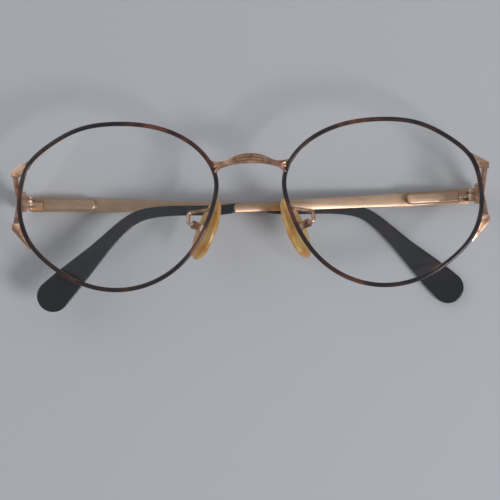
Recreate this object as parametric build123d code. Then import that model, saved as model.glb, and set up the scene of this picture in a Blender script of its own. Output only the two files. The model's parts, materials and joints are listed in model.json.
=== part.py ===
from build123d import *
import os
from math import cos, radians, sin

# Metal eyeglasses frame with demo lenses, folded and lying on its temples.
# +X runs to the viewer's right, +Y to the top of the lenses, +Z out of the lens fronts.
# _l pieces are on the -X side and _r pieces on the +X side.

# Driving dimensions, millimetres and degrees
lens_width = 52.0            # boxed lens size
lens_height = 43.8
bridge_gap = 18.0            # distance between lenses
base_radius = 125.0          # curve of the lens fronts
apex_height = 22.0           # lens front above the table
lens_thickness = 1.15
rim_width = 1.25             # seen from the front
rim_depth = 1.9
groove_inset = 0.35          # rim front to groove
fit_gap = 0.03               # lens in groove, core in sleeve
endpiece_reach = 2.2         # lens edge to the outer face of an end piece
endpiece_thickness = 1.3
arm_width = 1.7
bridge_depth = 1.7
bridge_bow_radius = 52.0
temple_thickness = 1.3
temple_root_width = 4.2
temple_neck_width = 2.3
temple_drop = 2.0            # slope of the folded temples
temple_bend = 42.0           # turn of the ear bend
bend_radius = 15.0
bend_start = 86.0            # hinge to ear bend
tip_length = 30.0            # ear bend to the end of the paddle
sleeve_start = 65.0
sleeve_thickness = 2.1
sleeve_neck_width = 2.6
paddle_width = 8.6
core_width = 1.1             # wire core inside the sleeve
core_thickness = 0.8
core_stop = 13.0             # end of the core to the end of the paddle
upper_lift = 5.6             # angle that the upper temple lies at, over the lower one
hinge_y = 1.7
knuckle_radius = 1.25
knuckle_gap = 0.05
middle_knuckle = 1.1
outer_knuckle = 0.9
pin_radius = 0.5
pin_clearance = 0.04
housing_start = 3.7
housing_length = 14.4
housing_width = 3.0
housing_wall = 1.1
bore_radius = 1.05
shank_radius = 0.48
shank_length = 13.0
flex_travel = 1.5
spring_wire = 0.28
pad_length = 17.0
pad_width = 8.6
pad_thickness = 2.2
pad_lean = 22.0              # slope of the pads, seen from the front
pad_splay = 35.0             # opening of the pads towards the face
pad_offset = 2.9             # half of the bridge gap to the middle of a pad
pad_low = 6.4                # middle of a pad below the middle of the lens
pad_back = 8.6               # lens front to the middle of a pad
pad_rock_height = 1.75       # pad back to its rocking screw
arm_wire = 1.0
insert_size = (3.2, 2.6, 0.6)    # plate moulded into the pad
tongue_width = 1.7
tongue_thickness = 0.9
clevis_size = (2.2, 2.7, 2.1)
clevis_room = 1.1
pad_screw_radius = 0.35
screw_head = 0.4                 # height of the small screw heads
lock_size = (1.9, 2.3, 2.9)      # half of the closing block of a rim
lock_slit = 0.4                  # between the two halves
lock_shift = 0.4                 # middle of the block inwards of the lens edge
rim_slit = 0.25
shuttle_neck = (0.9, 1.5)        # height and depth of the shuttle's blade
head_radius = 0.9                # head of the shuttle, inside the case
head_length = 0.6
head_room = 4.2                  # head of the shuttle to the far end of its travel
slot_width = 0.3                 # screwdriver slots
slot_depth = 0.22
plate_flare = 3.5                # hinge plate to where the end piece forks
fork_arm = 2.6                   # depth of a fork arm behind the lens front
coil_turns = 7

# Worked out
half_gap = bridge_gap / 2
eye_x = lens_width / 2 + half_gap
front_half_width = eye_x + lens_width / 2 + endpiece_reach
sphere_z = apex_height - base_radius
pivot_offset = knuckle_radius + 0.15
hinge_z = temple_thickness + pivot_offset
hinge_x = front_half_width - endpiece_thickness - pivot_offset
butt_gap = 0.15
rock_height = pad_thickness / 2 + pad_rock_height


def sphere_top(x, y, depth=0.0):
    """Height of the left lens sphere, depth below its front, over a point."""
    return sphere_z + ((base_radius - depth) ** 2 - (x + eye_x) ** 2 - y ** 2) ** 0.5


def shell(front, back):
    """Spherical shell of the left eye, from front to back below the lens front."""
    whole = Rot(0, 90, 0) * (Sphere(base_radius - front) - Sphere(base_radius - back))
    window = Box(2 * lens_width, 2 * lens_height, 40, align=(Align.CENTER, Align.CENTER, Align.MIN))
    return Pos(-eye_x, 0, sphere_z) * (whole & Pos(0, 0, base_radius - 30) * window)


# Lens outline as shares of the half width and half height, nose side positive
OUTLINE = [
    (0.998, 0.30), (0.91, 0.56), (0.68, 0.81), (0.37, 0.955), (0.0, 1.0), (-0.37, 0.945),
    (-0.70, 0.745), (-0.91, 0.51), (-0.985, 0.25), (-0.998, -0.07), (-0.915, -0.39), (-0.68, -0.70),
    (-0.37, -0.92), (0.0, -1.0), (0.37, -0.90), (0.665, -0.65), (0.85, -0.335), (0.967, 0.02),
]


def outline(grow=0.0):
    """Face of the left lens outline, with both half sizes grown."""
    half_width, half_height = lens_width / 2 + grow, lens_height / 2 + grow
    return make_face(Spline(*[(-eye_x + u * half_width, v * half_height) for u, v in OUTLINE], periodic=True))


def prism(face, low=0.0, high=40.0):
    return extrude(Pos(0, 0, low) * face, high - low, dir=(0, 0, 1))


def one(shape):
    """The single solid of a shape."""
    solids = shape.solids()
    assert len(solids) == 1, len(solids)
    return solids[0]


rim_outer = prism(outline(rim_width / 2))


def make_rim():
    ring = prism(outline(rim_width / 2)) - prism(outline(-rim_width / 2))
    groove = prism(outline()) & shell(groove_inset, groove_inset + lens_thickness + 2 * fit_gap)
    slit = Pos(-eye_x - lens_width / 2, hinge_y, 0) * Box(4 * rim_width, rim_slit, 4 * apex_height)
    return one((ring & shell(0, rim_depth)) - groove - slit)


def make_lens():
    front = groove_inset + fit_gap
    return one(prism(outline(-fit_gap)) & shell(front, front + lens_thickness))


def make_bridge():
    """Arched bridge with a forked foot on each rim."""
    top = [(-1.444, 12.9), (-1.033, 11.7), (-0.778, 11.6), (-0.4, 13.0), (0, 13.6)]
    bottom = [(0, 10.9), (-0.4, 10.8), (-0.733, 10.1), (-0.933, 9.2), (-1.044, 7.6), (-1.278, 7.2)]
    top, bottom = ([(share * half_gap, y) for share, y in row] for row in (top, bottom))
    mirrored = [(-x, y) for x, y in reversed(top[:-1])]
    lower = [(-x, y) for x, y in reversed(bottom[1:])]
    upper_edge = Spline(*(top + mirrored))
    lower_edge = Spline(*(lower + bottom))
    sides = Line(upper_edge @ 1, lower_edge @ 0) + Line(lower_edge @ 1, upper_edge @ 0)
    plate = prism(make_face(Curve() + [upper_edge, lower_edge] + sides.edges()), 10)
    crown = sphere_top(-half_gap, 10) + half_gap ** 2 / 2 / bridge_bow_radius
    bow = Cylinder(bridge_bow_radius, 60) - Cylinder(bridge_bow_radius - bridge_depth, 60)
    bow = Pos(0, 0, crown - bridge_bow_radius) * Rot(90, 0, 0) * bow
    rims = rim_outer + mirror(rim_outer, Plane.YZ)
    return one((plate & bow) - rims)


def make_endpiece():
    """Forked end piece: two front arms, folded back to one hinge plate."""
    outer = -front_half_width
    reach = arm_width / 2
    top_y, low_y = hinge_y + 7.6, hinge_y - 6.4
    elbow = outer + endpiece_reach

    def on_eye(*shares):
        """Points from shares of the lens half width and half height."""
        return [(-eye_x + u * lens_width / 2, v * lens_height / 2) for u, v in shares]

    upper = Polygon(
        (outer, top_y - reach), (outer, top_y + reach),
        *on_eye((-0.731, 0.68), (-0.692, 0.612), (-0.865, 0.548)), (elbow, top_y - reach), align=None)
    lower = Polygon(
        (outer, low_y + reach), (outer, low_y - reach),
        *on_eye((-0.908, -0.493), (-0.846, -0.466)), (elbow, low_y + reach), align=None)
    arms = prism(upper + lower) & shell(0.1, rim_depth - 0.1)
    arms = arms - rim_outer
    front_z = sphere_top(outer + 1, top_y, 0.3)
    low_z = sphere_top(outer + 1, low_y, 0.3)
    root = hinge_z + butt_gap
    half = temple_root_width / 2
    plate = Polygon(
        (hinge_y - half, root), (hinge_y + half, root), (hinge_y + half, root + plate_flare),
        (top_y + reach, front_z - fork_arm - 0.4), (top_y + reach, front_z), (top_y - reach, front_z),
        (top_y - reach, front_z - fork_arm), (hinge_y + 0.4, root + 1.8 * plate_flare),
        (low_y + reach, low_z - fork_arm), (low_y + reach, low_z), (low_y - reach, low_z),
        (low_y - reach, low_z - fork_arm - 0.4), (hinge_y - half, root + plate_flare), align=None)
    back = extrude(Plane.YZ * plate, endpiece_thickness, dir=(1, 0, 0))
    back = Pos(outer, 0, 0) * back
    return one(arms + back)


def at_hinge(shape):
    return Pos(-hinge_x, hinge_y, hinge_z) * shape


def barrel(length, radius=knuckle_radius, middle=0.0):
    """Cylinder on the hinge axis."""
    return Pos(0, middle, 0) * Rot(90, 0, 0) * Cylinder(radius, length)


pin_hole = pin_radius + pin_clearance
knuckle_y = middle_knuckle / 2 + knuckle_gap + outer_knuckle / 2
hinge_half = middle_knuckle / 2 + knuckle_gap + outer_knuckle


def make_hinge_front():
    """Two knuckles and the block that solders them to the end piece."""
    block = Pos(-pivot_offset / 2, 0, 2.4) * Box(pivot_offset, 2 * hinge_half, 4.0)
    ears = barrel(outer_knuckle, middle=knuckle_y) + barrel(outer_knuckle, middle=-knuckle_y)
    webs = Pos(-pivot_offset / 2, 0, 1.0) * Box(pivot_offset, 2 * hinge_half, 1.4)
    room = barrel(middle_knuckle + 2 * knuckle_gap, knuckle_radius + 0.15)
    lead = Pos(0.6, 0, 0) * Box(2.2, middle_knuckle + 2 * knuckle_gap, 2.8)
    body = block + webs + ears - room - lead - barrel(10, pin_radius)
    return at_hinge(one(body))


def make_hinge_screw():
    shaft = barrel(2 * hinge_half, pin_radius)
    head = barrel(0.5, 0.85, hinge_half + 0.25)
    slot = Pos(0, hinge_half + 0.5, 0) * Box(2, slot_width, slot_depth)
    return at_hinge(one(shaft + head - slot))


def along(shape):
    """Turns a piece to the slope of the temple."""
    return Rot(0, 0, -temple_drop) * shape


def rod(radius, start, length):
    """Cylinder along the temple."""
    upright = Cylinder(radius, length, align=(Align.CENTER, Align.CENTER, Align.MIN))
    return Pos(start, 0, 0) * Rot(0, 90, 0) * upright


head_start = housing_start + shank_length - head_room


def make_shuttle():
    """Sliding knuckle of the sprung hinge, with its shank and head."""
    neck_length = housing_start - flex_travel / 2
    neck = Box(neck_length, *shuttle_neck, align=(Align.MIN, Align.CENTER, Align.CENTER))
    slide = neck + rod(shank_radius, pin_radius, head_start) + rod(head_radius, head_start, head_length)
    return at_hinge(one(along(slide) + barrel(middle_knuckle) - barrel(10, pin_hole)))


def make_housing():
    """Sprung hinge case on the inner face of the temple."""
    height = pivot_offset + 1.25
    case = Pos(housing_start, 0, -pivot_offset) * Box(
        housing_length, housing_width, height, align=(Align.MIN, Align.CENTER, Align.MIN))
    case = fillet(case.edges().filter_by(Axis.Z).group_by(Axis.X)[-1], 1.2)
    case = chamfer(case.edges().group_by(Axis.Z)[-1], 0.3)
    case = case - rod(bore_radius, housing_start + housing_wall, housing_length - 2 * housing_wall)
    case = case - rod(shank_radius + pin_clearance, housing_start - 1, 4)
    return at_hinge(along(one(case)))


def make_spring():
    """Coil between the case's front wall and the shuttle's head, at its flexed length."""
    start = housing_start + housing_wall + spring_wire
    length = head_start - flex_travel - start - spring_wire
    coil_radius = (bore_radius + shank_radius) / 2
    path = Helix(pitch=length / coil_turns, height=length, radius=coil_radius)
    profile = Plane(path @ 0, z_dir=path % 0) * Circle(spring_wire / 2)
    coil = sweep(profile, path)
    return at_hinge(along(Pos(start, 0, 0) * Rot(0, 90, 0) * one(coil)))


def centre_line(distance):
    """Point and direction of the temple's line, a distance from the hinge."""
    if distance <= bend_start:
        return distance, 0.0, 0.0
    turn = min((distance - bend_start) / bend_radius, radians(temple_bend))
    x = bend_start + bend_radius * sin(turn)
    y = -bend_radius * (1 - cos(turn))
    rest = max(distance - bend_start - bend_radius * radians(temple_bend), 0.0)
    return x + rest * cos(turn), y - rest * sin(turn), turn


bend_end = bend_start + bend_radius * radians(temple_bend)
temple_end = bend_end + tip_length


def band(stations, round_end):
    """Face that follows the temple's line, with a half width at each station."""
    sides = []
    for side in (1, -1):
        row = []
        for distance, half in stations:
            x, y, turn = centre_line(distance)
            row.append((x + side * half * sin(turn), y + side * half * cos(turn)))
        sides.append(row)
    upper, lower = Spline(*sides[0]), Spline(*reversed(sides[1]))
    x, y, turn = centre_line(stations[-1][0] + round_end)
    end = ThreePointArc(upper @ 1, (x, y), lower @ 0)
    return make_face(Curve() + [upper, end, lower, Line(lower @ 1, upper @ 0)])


def core_rod(start, grow):
    """Flat core wire from a start to its stop, grown all round."""
    stops = (
        start, bend_start - 10, bend_start, (bend_start + bend_end) / 2, bend_end,
        temple_end - core_stop + grow)
    half, thickness = core_width / 2 + grow, core_thickness + 2 * grow
    flat = prism(band([(distance, half) for distance in stops], half), 0, thickness)
    return Pos(0, 0, (temple_thickness - thickness) / 2) * flat


def make_temple():
    """Tapered strip, with a core that runs on into the sleeve."""
    neck = sleeve_start + 0.01
    blade = Polygon(
        (butt_gap, -temple_root_width / 2), (butt_gap, temple_root_width / 2),
        (neck, temple_neck_width / 2), (neck, -temple_neck_width / 2), align=None)
    blade = prism(blade, 0, temple_thickness)
    core = core_rod(neck - 1, 0.0)
    return at_hinge(Pos(0, 0, -hinge_z) * along(one(blade + core)))


def make_sleeve():
    """Moulded end sleeve with its paddle and the slot for the core."""
    neck, wide = sleeve_neck_width / 2, paddle_width / 2
    stations = [
        (sleeve_start, neck), (bend_start - 8, neck + 0.05), (bend_start, neck + 0.15),
        ((bend_start + bend_end) / 2, neck + 0.3), (bend_end, neck + 0.5),
        (bend_end + 0.3 * tip_length, neck + 1.1), (bend_end + 0.6 * tip_length, wide - 0.7),
        (temple_end - wide, wide)]
    body = prism(band(stations, wide), 0, sleeve_thickness)
    return at_hinge(Pos(0, 0, -hinge_z) * along(one(body - core_rod(sleeve_start - 1, fit_gap))))


def lock_point(side):
    """Middle of the closing block: its slit is at side 0 and its halves at side 1 and -1."""
    depth = sphere_top(-eye_x - lens_width / 2, hinge_y, rim_depth) - lock_size[2] / 2
    return Pos(lock_shift - eye_x - lens_width / 2, hinge_y + side * (lock_size[1] + lock_slit) / 2, depth)


def lock_axis(radius, length, shift=0.0):
    """Cylinder on the axis of the closing screw."""
    return lock_point(0) * Pos(0, shift, 0) * Rot(90, 0, 0) * Cylinder(radius, length)


def make_lock_block(side):
    """Half of the closing block that holds the rim shut round the lens."""
    block = lock_point(side) * Pos(0, 0, 0.1) * Box(*lock_size) - rim_outer_shell
    return one(block - lock_axis(pin_radius + fit_gap, 3 * lock_size[1]))


rim_outer_shell = prism(outline(rim_width / 2)) & shell(-3, rim_depth)


def make_lock_screw():
    length = 2 * lock_size[1] + lock_slit
    head = lock_axis(1.6 * pin_radius, screw_head, (length + screw_head) / 2)
    return one(lock_axis(pin_radius, length) + head)


def pad_plane():
    """Plane on the middle of the left pad: x along it, z out of its back."""
    lean, splay = radians(pad_lean), radians(pad_splay)
    down = Vector(-sin(lean), -cos(lean), 0)
    rear = Vector(-sin(splay), 0, -cos(splay))
    back = rear.cross(down).normalized()
    if back.X > 0:
        back = -back
    return Plane(origin=(-half_gap - pad_offset, -pad_low, apex_height - pad_back), x_dir=down, z_dir=back)


def rock_axis(radius, length, shift=0.0):
    """Cylinder on the pad's rocking axis."""
    return Pos(0, shift, rock_height) * Rot(90, 0, 0) * Cylinder(radius, length)


def make_pad():
    oval = Ellipse(pad_length / 2, pad_width / 2)
    body = extrude(oval, pad_thickness / 2, both=True)
    body = fillet(body.edges(), 0.8)
    length, width, depth = (size + 2 * fit_gap for size in insert_size)
    seat = Pos(0, 0, pad_thickness / 2 - insert_size[2] / 2) * Box(length, width, depth)
    return pad_plane() * one(body - seat)


def make_pad_insert():
    """Plate moulded into the pad, with the tongue that the screw passes."""
    plate = Pos(0, 0, pad_thickness / 2 - insert_size[2] / 2) * Box(*insert_size)
    tongue = Pos(0, 0, pad_thickness / 2) * Box(
        tongue_width, tongue_thickness, pad_rock_height, align=(Align.CENTER, Align.CENTER, Align.MIN))
    tongue = tongue + rock_axis(tongue_width / 2, tongue_thickness)
    return pad_plane() * one(plate + tongue - rock_axis(pad_screw_radius + pin_clearance, 3 * clevis_size[1]))


def make_pad_box():
    """Clevis on the end of the pad arm."""
    box = Pos(0, 0, rock_height + pad_screw_radius) * Box(*clevis_size)
    room = Pos(0, 0, rock_height - 0.4) * Box(2 * clevis_size[0], clevis_room, 2.8)
    return pad_plane() * one(box - room - rock_axis(pad_screw_radius, 3 * clevis_size[1]))


def make_pad_screw():
    screw = rock_axis(pad_screw_radius, clevis_size[1])
    for side in (1, -1):
        screw = screw + rock_axis(0.75, screw_head, side * (clevis_size[1] + screw_head) / 2)
    return pad_plane() * one(screw)


def make_pad_arm():
    """Bent wire from the back of the rim to the pad box."""
    x, y = -half_gap - 1.2, -0.6
    foot = sphere_top(x, y, rim_depth)
    end = (pad_plane().location * Pos(0, 0, rock_height + pad_screw_radius + clevis_size[2] / 2)).position
    route = [
        Vector(x, y, foot + 0.2), Vector(x - 1.4, y - 0.6, foot - 2.2),
        Vector(end.X - 1.4, end.Y + 3.2, end.Z - 0.4), Vector(end.X - 1.5, end.Y + 0.4, end.Z + 0.3), end]
    path = FilletPolyline(*route, radius=0.7)
    wire = sweep(Plane(path @ 0, z_dir=path % 0) * Circle(arm_wire / 2), path)
    return one(wire - rim_outer_shell)


def on_right(shape):
    return mirror(shape, Plane.YZ)


def lift(shape):
    """Raises the upper temple over the lower one, about its hinge."""
    turn = Pos(hinge_x, 0, hinge_z) * Rot(0, upper_lift, 0) * Pos(-hinge_x, 0, -hinge_z)
    return turn * shape


fixed = {
    "rim": make_rim, "lens": make_lens, "endpiece": make_endpiece, "hinge_front": make_hinge_front,
    "rim_lock_upper": lambda: make_lock_block(1), "rim_lock_lower": lambda: make_lock_block(-1),
    "pad_arm": make_pad_arm, "pad_box": make_pad_box, "pad_insert": make_pad_insert, "nose_pad": make_pad,
}
folding = {
    "hinge_shuttle": make_shuttle, "spring_case": make_housing, "flex_spring": make_spring,
    "temple": make_temple, "temple_sleeve": make_sleeve,
}
fasteners = {
    "hinge_screws": make_hinge_screw, "rim_lock_screws": make_lock_screw, "pad_screws": make_pad_screw,
}

nodes = {"bridge": [make_bridge()]}
for name, make in fixed.items():
    left = make()
    nodes[name + "_l"], nodes[name + "_r"] = [left], [on_right(left)]
for name, make in folding.items():
    left = make()
    nodes[name + "_l"], nodes[name + "_r"] = [left], [lift(on_right(left))]
for name, make in fasteners.items():
    left = make()
    nodes[name] = [left, on_right(left)]

# The origin is the middle of the whole part's box, at its foot
whole = Compound([solid for solids in nodes.values() for solid in solids]).bounding_box()
middle = whole.center()
to_origin = Pos(-middle.X, -middle.Y, -whole.min.Z)

os.makedirs("parts", exist_ok=True)
for name, solids in nodes.items():
    placed = [to_origin * solid for solid in solids]
    export_step(placed[0] if len(placed) == 1 else Compound(placed), f"parts/{name}.step")

print("shift", to_origin.position)
print("hinge", hinge_x, hinge_y - middle.Y, hinge_z - whole.min.Z)
print("size", whole.size)
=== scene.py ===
# %% [markdown]
# # A folded eyeglasses frame
# A metal frame with clear demo lenses lies on its folded temples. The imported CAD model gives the
# pieces at their real size, and this lesson gives them rounded edges, fine metal and soft plastic.

# %% Load the frame
import bmesh
import bpy
import json
import numpy as np
from math import copysign, cos, pi, radians, sin, sqrt
from mathutils import Matrix, Vector

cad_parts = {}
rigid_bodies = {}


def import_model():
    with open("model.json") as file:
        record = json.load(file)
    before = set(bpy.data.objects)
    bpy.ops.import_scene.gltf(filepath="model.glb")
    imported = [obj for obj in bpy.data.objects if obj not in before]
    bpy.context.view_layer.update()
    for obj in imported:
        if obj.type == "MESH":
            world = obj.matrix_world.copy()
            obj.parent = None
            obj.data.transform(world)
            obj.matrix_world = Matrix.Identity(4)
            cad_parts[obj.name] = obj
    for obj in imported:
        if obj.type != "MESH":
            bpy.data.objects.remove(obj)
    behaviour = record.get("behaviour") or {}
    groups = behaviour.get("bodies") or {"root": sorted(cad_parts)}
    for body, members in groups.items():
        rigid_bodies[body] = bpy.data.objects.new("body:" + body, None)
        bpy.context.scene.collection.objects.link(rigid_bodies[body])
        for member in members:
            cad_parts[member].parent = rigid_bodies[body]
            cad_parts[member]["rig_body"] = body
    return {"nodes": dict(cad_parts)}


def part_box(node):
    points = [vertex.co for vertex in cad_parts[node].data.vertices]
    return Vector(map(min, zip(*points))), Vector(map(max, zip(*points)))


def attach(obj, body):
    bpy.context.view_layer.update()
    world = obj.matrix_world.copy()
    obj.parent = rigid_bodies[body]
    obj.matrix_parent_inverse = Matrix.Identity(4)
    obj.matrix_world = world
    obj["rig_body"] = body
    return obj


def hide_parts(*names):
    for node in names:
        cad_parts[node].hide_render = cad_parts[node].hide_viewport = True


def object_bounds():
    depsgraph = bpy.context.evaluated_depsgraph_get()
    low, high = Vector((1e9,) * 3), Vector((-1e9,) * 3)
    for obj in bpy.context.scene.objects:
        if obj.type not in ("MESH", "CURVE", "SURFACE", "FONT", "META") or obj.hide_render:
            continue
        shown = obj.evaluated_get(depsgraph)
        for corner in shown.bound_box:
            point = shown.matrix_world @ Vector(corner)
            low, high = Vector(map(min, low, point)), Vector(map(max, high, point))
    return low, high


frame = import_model()
nodes = frame["nodes"]
cad_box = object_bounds()
MM = 0.001
print("nodes", len(nodes), "box", cad_box)

# %% [markdown]
# Positions come from the frame. The middle of a lens and the middle of the front are read from the
# boxes of the nodes, so every new piece lands where the CAD has it.

# %% Measure the frame
def middle(node):
    """Middle of a node's box."""
    low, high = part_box(node)
    return (Vector(low) + Vector(high)) / 2


lens_low, lens_high = (Vector(corner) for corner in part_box("lens_r"))
front_middle = (middle("lens_l") + middle("lens_r")) / 2
half_width = (lens_high.x - lens_low.x) / 2
half_height = (lens_high.y - lens_low.y) / 2
print("lens", half_width / MM, half_height / MM, "front middle", front_middle)

# %% [markdown]
# A material is a short list of shader settings. This helper makes one Principled shader and sets the
# numbers on its own sockets, so that each finish below only says what differs.

# %% Helpers for materials
def finish(name, colour, **sockets):
    """Principled material; a socket name has _ for each space."""
    material = bpy.data.materials.new(name)
    material.use_nodes = True
    shader = material.node_tree.nodes["Principled BSDF"]
    shader.inputs["Base Color"].default_value = (*colour, 1)
    for socket, value in sockets.items():
        shader.inputs[socket.replace("_", " ")].default_value = value
    return material


def add_node(material, kind, **settings):
    """Shader node with its sockets or settings filled in."""
    node = material.node_tree.nodes.new(kind)
    for key, value in settings.items():
        if key in node.inputs:
            node.inputs[key].default_value = value
        else:
            setattr(node, key, value)
    return node


def join(material, source, target):
    material.node_tree.links.new(source, target)


def shader_of(material):
    return material.node_tree.nodes["Principled BSDF"]


def object_noise(material, scale, stretch=(1, 1, 1), detail=4.0):
    """Noise in the object's own metres, stretched along the axes."""
    place = add_node(material, "ShaderNodeTexCoord")
    mapping = add_node(material, "ShaderNodeMapping", Scale=stretch)
    noise = add_node(material, "ShaderNodeTexNoise", Scale=scale, Detail=detail)
    join(material, place.outputs["Object"], mapping.inputs["Vector"])
    join(material, mapping.outputs["Vector"], noise.inputs["Vector"])
    return noise


def ramp(material, source, stops):
    """Colour ramp from a grey value, with (place, colour) stops."""
    node = add_node(material, "ShaderNodeValToRGB")
    row = node.color_ramp.elements
    while len(row) < len(stops):
        row.new(0.5)
    for element, (place, colour) in zip(row, stops):
        element.position = place
        element.color = (*colour, 1)
    join(material, source, node.inputs["Fac"])
    return node


def roughen(material, source, low, high):
    """Roughness that varies with a grey value."""
    spread = add_node(material, "ShaderNodeMapRange")
    spread.inputs["To Min"].default_value = low
    spread.inputs["To Max"].default_value = high
    join(material, source, spread.inputs["Value"])
    join(material, spread.outputs["Result"], shader_of(material).inputs["Roughness"])


def bump(material, source, height, strength=0.4):
    """Raised grain, its height in metres."""
    node = add_node(material, "ShaderNodeBump", Strength=strength, Distance=height)
    join(material, source, node.inputs["Height"])
    join(material, node.outputs["Normal"], shader_of(material).inputs["Normal"])


# %% [markdown]
# The bridge, the end pieces and the pad arms are plated in rose gold and polished. Wear shows as
# small patches that are a little duller and browner than the rest.

# %% Polished gold plate
def make_gold():
    gold = finish("polished_gold", (0.60, 0.38, 0.26), Metallic=1.0, Roughness=0.22)
    wear = object_noise(gold, 420, detail=6)
    tint = ramp(gold, wear.outputs["Fac"], [(0.35, (0.38, 0.20, 0.13)), (0.6, (0.68, 0.44, 0.30))])
    join(gold, tint.outputs["Color"], shader_of(gold).inputs["Base Color"])
    roughen(gold, wear.outputs["Fac"], 0.14, 0.36)
    bump(gold, wear.outputs["Fac"], 0.00002, 0.3)
    return gold


gold = make_gold()

# %% [markdown]
# The temples are rolled strip with a satin face. Fine lines run along the strip, which is why the
# noise is stretched: it is squeezed along the strip's length and spread across it.

# %% Satin gold strip
def make_satin():
    satin = finish("satin_gold", (0.52, 0.35, 0.24), Metallic=1.0, Roughness=0.34)
    grain = object_noise(satin, 900, stretch=(0.04, 1.6, 1.6), detail=5)
    cloud = object_noise(satin, 90)
    tint = ramp(satin, cloud.outputs["Fac"], [(0.3, (0.42, 0.27, 0.18)), (0.7, (0.58, 0.40, 0.28))])
    join(satin, tint.outputs["Color"], shader_of(satin).inputs["Base Color"])
    roughen(satin, grain.outputs["Fac"], 0.24, 0.46)
    bump(satin, grain.outputs["Fac"], 0.00003, 0.35)
    return satin


satin = make_satin()

# %% [markdown]
# The rims are gold wire with a dark lacquer on the front. The lacquer is mottled brown and black.
# Where the surface turns away from the front the plating shows, so the mask is the surface's own
# normal, which belongs to the piece and not to the viewer.

# %% Lacquered rim
PLATING = (0.60, 0.38, 0.25, 1)
LACQUER_EDGE = (0.12, 0.42)     # upward share of the normal where the lacquer fades in
MIX_A, MIX_B, MIX_RESULT = 6, 7, 2     # colour sockets of the mix node


def make_lacquer():
    lacquer = finish("rim_lacquer", (0.05, 0.03, 0.03), Roughness=0.2)
    mottle = object_noise(lacquer, 130, detail=5)
    brown = ramp(lacquer, mottle.outputs["Fac"], [
        (0.38, (0.012, 0.012, 0.016)), (0.55, (0.045, 0.022, 0.020)), (0.68, (0.16, 0.055, 0.035))])
    geometry = add_node(lacquer, "ShaderNodeNewGeometry")
    split = add_node(lacquer, "ShaderNodeSeparateXYZ")
    join(lacquer, geometry.outputs["Normal"], split.inputs["Vector"])
    edge = add_node(lacquer, "ShaderNodeMapRange")
    edge.inputs["From Min"].default_value, edge.inputs["From Max"].default_value = LACQUER_EDGE
    join(lacquer, split.outputs["Z"], edge.inputs["Value"])
    mix = add_node(lacquer, "ShaderNodeMix", data_type="RGBA")
    join(lacquer, edge.outputs["Result"], mix.inputs["Factor"])
    mix.inputs[MIX_A].default_value = PLATING
    join(lacquer, brown.outputs["Color"], mix.inputs[MIX_B])
    join(lacquer, mix.outputs[MIX_RESULT], shader_of(lacquer).inputs["Base Color"])
    metal = add_node(lacquer, "ShaderNodeMapRange")
    metal.inputs["To Min"].default_value = 1.0
    metal.inputs["To Max"].default_value = 0.0
    join(lacquer, edge.outputs["Result"], metal.inputs["Value"])
    join(lacquer, metal.outputs["Result"], shader_of(lacquer).inputs["Metallic"])
    bump(lacquer, mottle.outputs["Fac"], 0.00002, 0.2)
    return lacquer


lacquer = make_lacquer()

# %% [markdown]
# The ear sleeves are moulded in a very dark tortoise plastic: black with bluish and plum clouds,
# under a clear gloss. The clouds are large, so only a few show on each sleeve.

# %% Dark tortoise plastic
def make_tortoise():
    plastic = finish("dark_tortoise", (0.02, 0.02, 0.03), Roughness=0.16,
                     Coat_Weight=0.6, Coat_Roughness=0.05)
    cloud = object_noise(plastic, 75, stretch=(1, 1.4, 1), detail=3)
    tint = ramp(plastic, cloud.outputs["Fac"], [
        (0.35, (0.003, 0.004, 0.007)), (0.54, (0.007, 0.009, 0.015)), (0.70, (0.030, 0.013, 0.018))])
    join(plastic, tint.outputs["Color"], shader_of(plastic).inputs["Base Color"])
    scuff = object_noise(plastic, 1500, detail=6)
    roughen(plastic, scuff.outputs["Fac"], 0.10, 0.26)
    bump(plastic, cloud.outputs["Fac"], 0.00008, 0.15)
    return plastic


tortoise = make_tortoise()

# %% [markdown]
# Old nose pads turn amber. They let light through, so the shader transmits, and a warm mottle keeps
# them from looking like clean glass. Lenses transmit too, with hardly any tint.

# %% Amber pads, lenses and screws
def make_amber():
    amber = finish("amber_pad", (0.95, 0.62, 0.20), Roughness=0.14, Transmission_Weight=0.5, IOR=1.42,
                   Coat_Weight=0.5, Coat_Roughness=0.06)
    age = object_noise(amber, 260, detail=5)
    tint = ramp(amber, age.outputs["Fac"], [(0.32, (0.80, 0.38, 0.08)), (0.62, (1.0, 0.76, 0.32))])
    join(amber, tint.outputs["Color"], shader_of(amber).inputs["Base Color"])
    bump(amber, age.outputs["Fac"], 0.00006, 0.3)
    return amber


def make_lens_glass():
    glass = finish("demo_lens", (0.985, 0.995, 0.99), Roughness=0.02, Transmission_Weight=1.0, IOR=1.2,
                   Coat_Weight=0.25, Coat_Roughness=0.02)
    dust = object_noise(glass, 700, detail=6)
    roughen(glass, dust.outputs["Fac"], 0.0, 0.03)
    return glass


def make_steel():
    steel = finish("screw_steel", (0.66, 0.52, 0.38), Metallic=1.0, Roughness=0.28)
    turning = object_noise(steel, 2600, detail=3)
    roughen(steel, turning.outputs["Fac"], 0.18, 0.40)
    return steel


amber, lens_glass, steel = make_amber(), make_lens_glass(), make_steel()
print("materials", [material.name for material in bpy.data.materials])

# %% [markdown]
# Each CAD node keeps its shape. The ones that are right as they stand only get a finish. The first
# name below that a node starts with decides. The lenses cast no shadow, as thin clear plastic hardly does.

# %% Give the CAD nodes their finish
def paint(piece, material):
    """Gives a piece one material."""
    piece.data.materials.clear()
    piece.data.materials.append(material)


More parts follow.
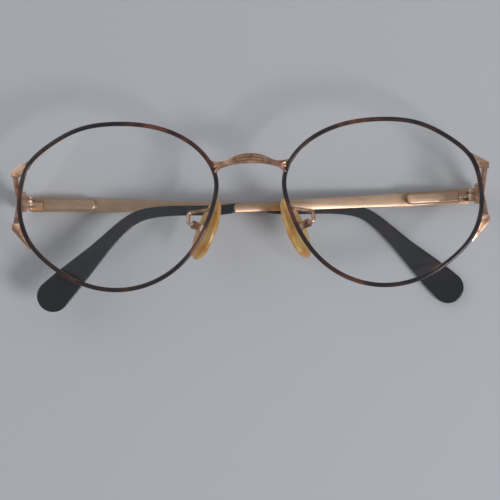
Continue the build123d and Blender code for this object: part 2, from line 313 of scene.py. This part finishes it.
FINISHES = {
    "rim_lock": gold, "rim": lacquer, "lens": lens_glass, "temple_sleeve": tortoise, "temple": satin,
    "spring_case": satin, "nose_pad": amber, "hinge_screws": steel, "hinge_shuttle": steel,
    "flex_spring": steel, "pad_insert": steel, "pad_screws": steel, "pad": gold, "hinge_front": gold,
    "bridge": gold, "endpiece": gold,
}
for name, node in nodes.items():
    paint(node, next(material for start, material in FINISHES.items() if name.startswith(start)))
for side in "lr":
    nodes["lens_" + side].visible_shadow = False
    nodes["lens_" + side].visible_diffuse = False

# %% [markdown]
# A machined edge is never quite sharp, and it is the rounded edge that catches the light. The CAD
# edges are sharp, so a copy of the mesh is merged, its flat faces are joined, and the sharp edges
# are bevelled. The copy stands for the node.


merge_distance = 0.002 * MM
flat_angle = radians(2)
sharp_angle = radians(35)


def rounded(node, width, segments=3):
    """Copy of a node with its sharp edges bevelled; width in millimetres."""
    source = nodes[node]
    mesh = bmesh.new()
    mesh.from_mesh(source.data)
    bmesh.ops.remove_doubles(mesh, verts=mesh.verts, dist=merge_distance)
    bmesh.ops.dissolve_limit(mesh, angle_limit=flat_angle, verts=mesh.verts, edges=mesh.edges)
    data = bpy.data.meshes.new(node + "_rounded")
    mesh.to_mesh(data)
    mesh.free()
    piece = bpy.data.objects.new(node + "_rounded", data)
    bpy.context.scene.collection.objects.link(piece)
    bevel = piece.modifiers.new("edge", "BEVEL")
    bevel.width = width * MM
    bevel.segments = segments
    bevel.limit_method = "ANGLE"
    bevel.angle_limit = sharp_angle
    bevel.harden_normals = True
    for polygon in data.polygons:
        polygon.use_smooth = True
    paint(piece, source.data.materials[0])
    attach(piece, source["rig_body"])
    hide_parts(node)
    return piece


EDGE_WIDTHS = {"endpiece": 0.28, "temple": 0.22, "spring_case": 0.15, "hinge_front": 0.12, "pad_box": 0.12}
for side in "lr":
    for node, width in EDGE_WIDTHS.items():
        rounded(f"{node}_{side}", width)

# %% [markdown]
# The eye wire is drawn to a rounded section and bent round the lens. A curve does the same: a small
# oval section follows the lens outline, which lies on the sphere of the lens front. The outline is
# a smooth closed line through a few points, given as shares of the lens's half width and height.

# %% Lens outline
OUTLINE = [
    (0.998, 0.30), (0.91, 0.56), (0.68, 0.81), (0.37, 0.955), (0.0, 1.0), (-0.37, 0.945),
    (-0.70, 0.745), (-0.91, 0.51), (-0.985, 0.25), (-0.998, -0.07), (-0.915, -0.39), (-0.68, -0.70),
    (-0.37, -0.92), (0.0, -1.0), (0.37, -0.90), (0.665, -0.65), (0.85, -0.335), (0.967, 0.02),
]
base_radius = 125 * MM
lens_gap = 0.03 * MM
groove_inset = 0.35 * MM
rim_width = 1.25 * MM
rim_depth = 1.9 * MM
RIM_STEPS = 216


def closed_spline(points, steps):
    """Smooth closed line through points, by a periodic cubic with chord lengths."""
    points = np.array(points, dtype=float)
    count = len(points)
    chords = np.linalg.norm(np.roll(points, -1, axis=0) - points, axis=1)
    matrix = np.zeros((count, count))
    right = np.zeros((count, 2))
    for i in range(count):
        before, after = chords[i - 1], chords[i]
        matrix[i, i - 1] += after
        matrix[i, i] += 2 * (before + after)
        matrix[i, (i + 1) % count] += before
        right[i] = 3 * (after * (points[i] - points[i - 1]) / before
                        + before * (points[(i + 1) % count] - points[i]) / after)
    slopes = np.linalg.solve(matrix, right)
    total = chords.sum()
    line, start, i = [], 0.0, 0
    for step in range(steps):
        place = total * step / steps
        while place > start + chords[i]:
            start += chords[i]
            i += 1
        t = (place - start) / chords[i]
        a, b, j = points[i], points[(i + 1) % count], (i + 1) % count
        line.append((2 * t ** 3 - 3 * t ** 2 + 1) * a + (t ** 3 - 2 * t ** 2 + t) * chords[i] * slopes[i]
                    + (3 * t ** 2 - 2 * t ** 3) * b + (t ** 3 - t ** 2) * chords[i] * slopes[j])
    return line


print("outline points", len(OUTLINE), "rim steps", RIM_STEPS)

# %% [markdown]
# The rim's section is a rounded box, a little deeper than it is wide. The curve keeps it upright, so
# its depth always points through the lens, as on the real wire.

# %% Eye wires
apex = lens_high.z + groove_inset + lens_gap


def section_curve(name, width, depth, fullness=0.62, corners=24):
    """Closed rounded-box section, drawn as a superellipse."""
    data = bpy.data.curves.new(name, "CURVE")
    data.dimensions = "2D"
    spline = data.splines.new("POLY")
    spline.points.add(corners - 1)
    for k, point in enumerate(spline.points):
        angle = 2 * pi * k / corners
        x = width / 2 * copysign(abs(cos(angle)) ** fullness, cos(angle))
        y = depth / 2 * copysign(abs(sin(angle)) ** fullness, sin(angle))
        point.co = (x, y, 0, 1)
    spline.use_cyclic_u = True
    piece = bpy.data.objects.new(name, data)
    bpy.context.scene.collection.objects.link(piece)
    return piece


def swept(name, points, section, cyclic=True):
    """Mesh of a section swept along points, kept upright."""
    data = bpy.data.curves.new(name, "CURVE")
    data.dimensions = "3D"
    data.twist_mode = "Z_UP"
    spline = data.splines.new("POLY")
    spline.points.add(len(points) - 1)
    for target, point in zip(spline.points, points):
        target.co = (*point, 1)
    spline.use_cyclic_u = cyclic
    data.bevel_mode = "OBJECT"
    data.bevel_object = section
    data.use_fill_caps = not cyclic
    guide = bpy.data.objects.new(name + "_guide", data)
    bpy.context.scene.collection.objects.link(guide)
    bpy.context.view_layer.update()
    mesh = bpy.data.meshes.new_from_object(guide.evaluated_get(bpy.context.evaluated_depsgraph_get()))
    bpy.data.objects.remove(guide)
    return mesh_piece(name, mesh)


def mesh_piece(name, mesh):
    """Object for a mesh, closed and with its faces outwards."""
    shape = bmesh.new()
    shape.from_mesh(mesh)
    bmesh.ops.remove_doubles(shape, verts=shape.verts, dist=merge_distance / 2)
    bmesh.ops.recalc_face_normals(shape, faces=shape.faces)
    shape.to_mesh(mesh)
    shape.free()
    mesh.name = name
    for polygon in mesh.polygons:
        polygon.use_smooth = True
    piece = bpy.data.objects.new(name, mesh)
    bpy.context.scene.collection.objects.link(piece)
    return piece


rim_section = section_curve("rim_section", rim_width, rim_depth)


def make_rim(side):
    """Eye wire that stands for a rim."""
    centre = middle("lens_" + side)
    nose = -1 if side == "r" else 1
    points = [(u * (half_width + lens_gap), v * (half_height + lens_gap)) for u, v in OUTLINE]
    line = []
    for u, v in closed_spline(points, RIM_STEPS):
        z = apex - base_radius + sqrt(base_radius ** 2 - u * u - v * v) - rim_depth / 2
        line.append((centre.x + nose * u, front_middle.y + v, z))
    rim = swept("eye_wire_" + side, line, rim_section)
    paint(rim, lacquer)
    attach(rim, "front")
    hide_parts("rim_" + side)
    return rim


rims = [make_rim(side) for side in "lr"]
bpy.data.objects.remove(rim_section)
print("rim faces", len(rims[0].data.polygons))

# %% [markdown]
# The sleeves are moulded with full, round edges. The CAD node has the right outline and flat sides,
# so the copy's long top and bottom edges get a wide bevel of many segments, almost a half round.

# %% Ear sleeves
sleeve_edge = 0.92


def make_sleeve(side):
    """Rounded copy of a sleeve, bevelled round its two large faces only."""
    sleeve = rounded("temple_sleeve_" + side, sleeve_edge, segments=7)
    sleeve.modifiers["edge"].limit_method = "WEIGHT"
    data = sleeve.data
    shape = bmesh.new()
    shape.from_mesh(data)
    flats = sorted(shape.faces, key=lambda face: -face.calc_area())[:2]
    weight = shape.edges.layers.float.new("bevel_weight_edge")
    for flat in flats:
        for edge in flat.edges:
            edge[weight] = 1.0
    shape.to_mesh(data)
    shape.free()
    return sleeve


print("sleeves", [make_sleeve(side).name for side in "lr"])

# %% [markdown]
# A nose pad is a soft oval cushion, fat at its rim and slightly hollow where it meets the nose. A
# round ball is pressed to that shape: scaled, flattened with full edges, and dished on the nose side.

# %% Nose pads
pad_length, pad_width, pad_thickness = 17.0 * MM, 8.6 * MM, 2.2 * MM
pad_lean, pad_splay = radians(22), radians(35)
pad_fullness = 0.55     # below 1 makes the pad's faces flatter and its edge fuller
pad_hollow = 0.16       # share of the thickness that the nose side dips
pad_taper = 0.10        # how much wider the lower end is


def pad_matrix(side):
    """Place of a pad: x along it, z out of its back."""
    hand = -1 if side == "l" else 1
    down = Vector((hand * sin(pad_lean), -cos(pad_lean), 0))
    rear = Vector((hand * sin(pad_splay), 0, -cos(pad_splay)))
    back = rear.cross(down).normalized()
    if back.x * hand < 0:
        back = -back
    across = back.cross(down).normalized()
    turn = Matrix((down, across, back)).transposed().to_4x4()
    return Matrix.Translation(middle("nose_pad_" + side)) @ turn


def make_pad(side):
    """Soft pad that stands for a nose pad."""
    shape = bmesh.new()
    bmesh.ops.create_uvsphere(shape, u_segments=64, v_segments=32, radius=1)
    for vert in shape.verts:
        x, y, z = vert.co
        ring = sqrt(x * x + y * y)
        fat = copysign(abs(z) ** pad_fullness, z)
        dish = pad_hollow * (1 - ring * ring) if z < 0 else 0.0
        half_sizes = (pad_length / 2, pad_width / 2 * (1 + pad_taper * x), pad_thickness / 2)
        vert.co = Vector(share * half for share, half in zip((x, y, fat + dish), half_sizes))
    bmesh.ops.transform(shape, matrix=pad_matrix(side), verts=shape.verts)
    data = bpy.data.meshes.new("soft_pad_" + side)
    shape.to_mesh(data)
    shape.free()
    pad = mesh_piece("soft_pad_" + side, data)
    paint(pad, amber)
    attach(pad, "pad_" + side)
    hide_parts("nose_pad_" + side)
    return pad


print("pads", [make_pad(side).name for side in "lr"])

# %% [markdown]
# The bridge looks like a bundle of three drawn strands that spread into a fork at each rim. The CAD
# plate carries them, and each strand is a thin round wire half sunk in its face.

# %% Bridge strands
bridge_low, bridge_high = (Vector(corner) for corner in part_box("bridge"))
rounded("bridge", 0.35)
bridge_bow = 52 * MM
strand_width = 0.8 * MM
strand_section = section_curve("strand_section", strand_width, strand_width, fullness=1.0, corners=16)


def bridge_face(x):
    """Height of the bowed bridge's front over x."""
    return bridge_high.z - bridge_bow + sqrt(bridge_bow * bridge_bow - x * x)


# Each strand: how far below the bridge's crown it runs at the middle, the neck and the fork, millimetres
STRAND_DROPS = [(0.65, 2.5, 2.3), (1.45, 2.75, 3.6), (2.2, 3.1, 5.4)]
STRAND_SHARES = [1.0, 0.72, 0.38, 0.0]
strand_inset = 0.7 * MM
strand_sink = 0.12 * MM
STRAND_STEPS = 49


def make_strand(number, top, neck, end):
    """Arched wire from fork to fork."""
    half = (bridge_high.x - bridge_low.x) / 2 - strand_inset
    heights = [bridge_high.y - drop * MM for drop in (end, neck, (neck + 2 * top) / 3, top)]
    xs = [-share * half for share in STRAND_SHARES]
    xs += [share * half for share in reversed(STRAND_SHARES[:-1])]
    ys = heights + list(reversed(heights[:-1]))
    curve = np.polynomial.Polynomial.fit(xs, ys, 6)
    places = np.linspace(xs[0], xs[-1], STRAND_STEPS)
    line = [(x, float(curve(x)), bridge_face(x) - strand_sink) for x in places]
    strand = swept(f"bridge_strand_{number}", line, strand_section, cyclic=False)
    paint(strand, gold)
    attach(strand, "front")
    return strand


print("strands", [make_strand(k + 1, *drops).name for k, drops in enumerate(STRAND_DROPS)])
bpy.data.objects.remove(strand_section)

# %% [markdown]
# The frame lies on a pale plain floor, just under the lowest point of the CAD box.

# %% Floor
floor_half = 1.5
floor_gap = 0.1 * MM


def make_floor():
    """Plain square floor."""
    shape = bmesh.new()
    bmesh.ops.create_grid(shape, x_segments=1, y_segments=1, size=floor_half)
    data = bpy.data.meshes.new("floor")
    shape.to_mesh(data)
    shape.free()
    floor = bpy.data.objects.new("floor", data)
    floor.location.z = cad_box[0][2] - floor_gap
    bpy.context.scene.collection.objects.link(floor)
    paint(floor, finish("pale_floor", (0.52, 0.53, 0.56), Roughness=0.9))
    return floor


print("floor", make_floor().name)

# %% [markdown]
# The camera looks straight down at the lens fronts from about an arm's length, turned very slightly.
# The lens follows from the distance and from the width that it has to take in.

# %% Camera
camera_distance = 420 * MM
view_width = 132 * MM
view_shift = Vector((-0.4 * MM, -12 * MM, 0))
front_plane = lens_high.z - 2.5 * MM
camera_turn = radians(1.08)
sensor_width = 36


def make_camera():
    """Camera over the front."""
    data = bpy.data.cameras.new("camera")
    camera = bpy.data.objects.new("camera", data)
    bpy.context.scene.collection.objects.link(camera)
    data.sensor_width = sensor_width
    data.lens = sensor_width * camera_distance / view_width
    camera.location = front_middle + view_shift
    camera.location.z = front_plane + camera_distance
    camera.rotation_euler = (0, 0, -camera_turn)
    bpy.context.scene.camera = camera
    return camera


print("camera", make_camera().location)

# %% [markdown]
# Two soft lamps stand in for a window and for the light of the room. A dim grey world fills the
# shadows, so a colour renders about as it is written.

# %% Lamps
def make_lamp(name, place, size, power):
    """Square area lamp that faces the origin."""
    data = bpy.data.lights.new(name, "AREA")
    data.size = size
    data.energy = power
    lamp = bpy.data.objects.new(name, data)
    lamp.location = place
    lamp.rotation_euler = (Vector(place) * -1).to_track_quat("-Z", "Y").to_euler()
    bpy.context.scene.collection.objects.link(lamp)
    return lamp


# Each lamp: its place and size in metres, and its power in watts
LAMPS = {"window": ((0.55, -0.35, 0.75), 0.3, 4.2), "fill": ((-0.7, 0.5, 0.8), 0.9, 1.8)}
print("lamps", [make_lamp(name, *settings).name for name, settings in LAMPS.items()])


WORLD_COLOUR = (0.55, 0.57, 0.60, 1)
world_strength = 0.62


def make_world():
    """Even grey light from all round."""
    world = bpy.data.worlds.new("studio")
    world.use_nodes = True
    background = world.node_tree.nodes["Background"]
    background.inputs["Color"].default_value = WORLD_COLOUR
    background.inputs["Strength"].default_value = world_strength
    bpy.context.scene.world = world


make_world()
bpy.context.scene.view_settings.view_transform = "Standard"
